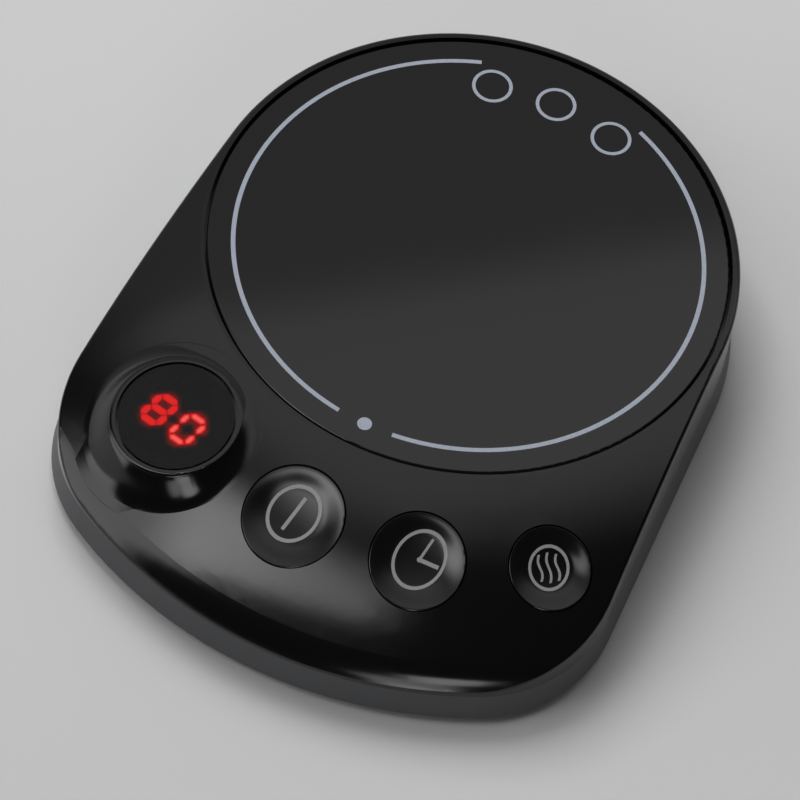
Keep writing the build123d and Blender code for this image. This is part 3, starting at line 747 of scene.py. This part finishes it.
class PodFrame:
    """Plane of the display window, with distances out from its middle and heights above it."""

    def __init__(self):
        depsgraph = bpy.context.evaluated_depsgraph_get()
        self.tree = BVHTree.FromObject(frame["nodes"]["top_cover"], depsgraph)
        window = seat_on_top(frame["nodes"]["display_lens"], "display_lens")
        self.middle = lens_centre - window.normal * (lens_centre - window.origin).dot(window.normal)
        self.normal = window.normal
        inward = glass_centre - self.middle
        self.inward = (inward - self.normal * inward.dot(self.normal)).normalized()
        self.side = self.normal.cross(self.inward)

    def outward(self, angle):
        """Direction in the plane, at an angle from the way to the hotplate."""
        return self.inward * cos(angle) + self.side * sin(angle)

    def surface(self, angle, reach):
        """Height and slope of the cover at a reach from the middle."""
        way = self.outward(angle)
        start = self.middle + way * reach + self.normal * pod_ray_height
        place, normal, _, _ = self.tree.ray_cast(start, -self.normal)
        height = (place - self.middle).dot(self.normal)
        slope = -normal.dot(way) / normal.dot(self.normal)
        return height, slope


def curve_between(share, start, start_slope, end, end_slope):
    """Smooth curve from one height and slope to another, at a share of its length."""
    left = 1 - share
    return (
        start * (1 + 2 * share) * left ** 2 + start_slope * share * left ** 2
        + end * share ** 2 * (3 - 2 * share) - end_slope * share ** 2 * left)


def soften_pod_foot(finish):
    """Smooth flank from the rim of the pod down to the deck, over the moulding's own foot."""
    pod = PodFrame()
    shape = bmesh.new()
    # a flat ring from 1 to 2 round its centre: the share of the way out is the radius less 1
    shares = [row / flank_rows for row in range(flank_rows + 1)]
    spin_profile(shape, shares, (-1, 0, 0), flank_steps)
    for vertex in shape.verts:
        angle = atan2(vertex.co.y, vertex.co.x + 1)
        share = Vector((vertex.co.x + 1, vertex.co.y)).length - 1
        foot = flank_foot - flank_foot_swing * cos(angle)
        width = foot - flank_top
        top, _ = pod.surface(angle, flank_top)
        low, low_slope = pod.surface(angle, foot)
        height = curve_between(share, top, flank_slope * width, low, low_slope * width)
        reach = flank_top + share * width
        skin, _ = pod.surface(angle, reach)
        at_edge = not 0.01 < share < 0.99
        height = skin - flank_sink if at_edge else max(height, skin + flank_lift)
        vertex.co = pod.middle + pod.outward(angle) * reach + pod.normal * height
    thicken(shape, -pod.normal * flank_thickness)
    shade_smooth(shape)
    piece = finished_piece("pod_flank", shape, finish, "housing")
    piece.data.set_sharp_from_angle(angle=flank_crease)


# ==== display ====

def segment_places():
    """Centre, length and whether upright of each of the seven bars of a digit."""
    across = digit_width - segment_width
    rise = (digit_height - segment_width) / 2
    half = across / 2
    return {
        "a": (0, rise, across, False),
        "b": (half, rise / 2, rise, True),
        "c": (half, -rise / 2, rise, True),
        "d": (0, -rise, across, False),
        "e": (-half, -rise / 2, rise, True),
        "f": (-half, rise / 2, rise, True),
        "g": (0, 0, across, False),
    }


def add_bar(shape, core, bar, width, paleness):
    """Six-sided bar with a raised core value along its middle."""
    x, y, length, upright = bar
    half = length / 2 - segment_gap + (width - segment_width) / 2
    point = half - width / 2
    side = width / 2
    outline = ((half, 0), (point, side), (-point, side), (-half, 0), (-point, -side), (point, -side))
    corners = [shape.verts.new((*corner, 0)) for corner in outline]
    if upright:
        bmesh.ops.rotate(shape, matrix=Matrix.Rotation(pi / 2, 3, "Z"), verts=corners)
    bmesh.ops.translate(shape, vec=(x, y, 0), verts=corners)
    face = shape.faces.new(corners)
    face.normal_update()
    inset = width * core_inset_share
    bmesh.ops.inset_individual(shape, faces=[face], thickness=inset, use_even_offset=True)
    for vertex in face.verts:
        vertex[core] = paleness


def light_digits(seat, name, width, lift, strengths, material):
    """Bars of both digits, in one layer over the face of the display."""
    places = segment_places()
    shape = bmesh.new()
    core = shape.verts.layers.float.new("core")
    for position, digit in zip((-0.5, 0.5), digit_text):
        drawn = set(shape.verts)
        for segment in digit_segments[digit]:
            add_bar(shape, core, places[segment], width, strengths[digit])
        for vertex in set(shape.verts) - drawn:
            across = digit_shift[0] + position * digit_pitch + digit_slant * vertex.co.y
            vertex.co += Vector((across, digit_shift[1], lift))
    seat.lay(shape, follow=False)
    finished_piece(name, shape, material, "housing")


def light_display():
    """Lit digits on the display, straight behind the middle of the window."""
    window = seat_on_top(frame["nodes"]["display_lens"], "display_lens")
    display = frame["nodes"]["segment_display"]
    seat = Seat(display, lens_centre, -window.normal, toward_back, digit_turn)
    halo = light_halo("digit_halo", halo_colour, halo_strength)
    bars = lit_segment("digit_bars", bar_edge_colour, bar_core_colour, bar_strength)
    light_digits(seat, "digit_halo", segment_width + 2 * halo_width, halo_lift, digit_spill, halo)
    light_digits(seat, "digit_bars", segment_width, bar_lift, digit_core, bars)


# ==== studio ====

def make_key_lamp():
    """Square lamp behind at the left that looks at the middle of the object."""
    data = bpy.data.lights.new("key_box", "AREA")
    data.shape = "SQUARE"
    data.size = key_size
    data.energy = key_strength
    lamp = bpy.data.objects.new("key_box", data)
    direction = Vector(key_way).normalized()
    turn = direction.to_track_quat("Z", "Y").to_matrix().to_4x4()
    lamp.matrix_world = Matrix.Translation(direction * key_distance) @ turn
    lamp.visible_glossy = False
    lamp.visible_transmission = False
    bpy.context.scene.collection.objects.link(lamp)


def make_floor():
    """Plain pale floor."""
    shape = bmesh.new()
    bmesh.ops.create_grid(shape, x_segments=1, y_segments=1, size=floor_reach)
    mesh = bpy.data.meshes.new("floor")
    shape.to_mesh(mesh)
    shape.free()
    floor = bpy.data.objects.new("floor", mesh)
    bpy.context.scene.collection.objects.link(floor)
    material, graph = new_material("floor")
    tone = graph.noise(300 * MM)
    principled(
        graph,
        Base_Color=graph.mix(tone, *(rgba(shade) for shade in floor_tones)),
        Roughness=0.8 + tone * 0.05,
    )
    floor.data.materials.append(material)


def compass(azimuth, elevation):
    """Direction from degrees clockwise from straight behind, and degrees above the floor."""
    flat = cos(radians(elevation))
    return sin(radians(azimuth)) * flat, cos(radians(azimuth)) * flat, sin(radians(elevation))


def make_world():
    """Studio seen in the gloss: a card in two tones, round boxes and straight-edged panels."""
    world = bpy.data.worlds.new("studio")
    bpy.context.scene.world = world
    world.use_nodes = True
    graph = Graph(world.node_tree)
    way = graph.node("ShaderNodeTexCoord", output="Generated")

    def toward(direction):
        """Cosine of the angle between what is looked at and a direction."""
        sockets = {0: way, 1: Vector(direction).normalized()}
        return graph.node("ShaderNodeVectorMath", {"operation": "DOT_PRODUCT"}, sockets, "Value")

    far = graph.ramp(toward(far_card_side), -far_card_blur, far_card_blur)
    card = far_card_level * far + near_card_level * (1 - far)
    for azimuth, low, high in card_edges:
        card = card * graph.ramp(toward(compass(azimuth, 0.0)), low, high)
    light = dark_level + card
    for azimuth, elevation, inner, outer, level in studio_boxes:
        nearness = toward(compass(azimuth, elevation))
        light = light + level * graph.ramp(nearness, cos(radians(outer)), cos(radians(inner)))
    for level, *edges in studio_panels:
        for inwards, soft in edges:
            level = level * graph.ramp(toward(inwards), -soft, soft)
        light = light + level
    seen = graph.node("ShaderNodeLightPath", output="Is Camera Ray")
    strength = seen * backdrop_level + (1 - seen) * light
    sockets = {"Color": rgba((1.0, 1.0, 1.0)), "Strength": strength}
    shade = graph.node("ShaderNodeBackground", sockets=sockets)
    end = graph.tree.nodes.new("ShaderNodeOutputWorld")
    graph.tree.links.new(shade.socket, end.inputs["Surface"])


def make_camera():
    """Camera that puts the middle of the glass on its pixel, rolled about its own axis."""
    flat = cos(camera_elevation)
    back = Vector((sin(camera_azimuth) * flat, -cos(camera_azimuth) * flat, sin(camera_elevation)))
    level = (-back).cross(Vector((0, 0, 1))).normalized()
    upright = level.cross(-back)
    right = level * cos(camera_roll) + upright * sin(camera_roll)
    up = upright * cos(camera_roll) - level * sin(camera_roll)
    focal = lens_length / sensor_width * render_size
    across = (glass_pixel[0] - render_size / 2) / focal * camera_distance
    above = (render_size / 2 - glass_pixel[1]) / focal * camera_distance
    place = glass_centre - right * across - up * above + back * camera_distance
    data = bpy.data.cameras.new("camera")
    data.lens = lens_length
    data.sensor_width = sensor_width
    data.clip_start = 10 * MM
    camera = bpy.data.objects.new("camera", data)
    camera.matrix_world = Matrix((
        (right.x, up.x, back.x, place.x),
        (right.y, up.y, back.y, place.y),
        (right.z, up.z, back.z, place.z),
        (0, 0, 0, 1)))
    bpy.context.scene.collection.objects.link(camera)
    bpy.context.scene.camera = camera


# ==== the whole scene ====

finishes = make_finishes()
dress_cad_nodes(finishes)
soften_pod_foot(finishes["housing_gloss"])
print_glass(printed_ink("glass_ink", glass_ink_colour))
caps = {name: hollow_cap(name, finishes["button_gloss"]) for name in cap_radius}
print_caps(printed_ink("button_ink", cap_ink_colour), caps)
light_display()
make_floor()
make_world()
make_key_lamp()
make_camera()
bpy.context.scene.view_settings.view_transform = "Standard"
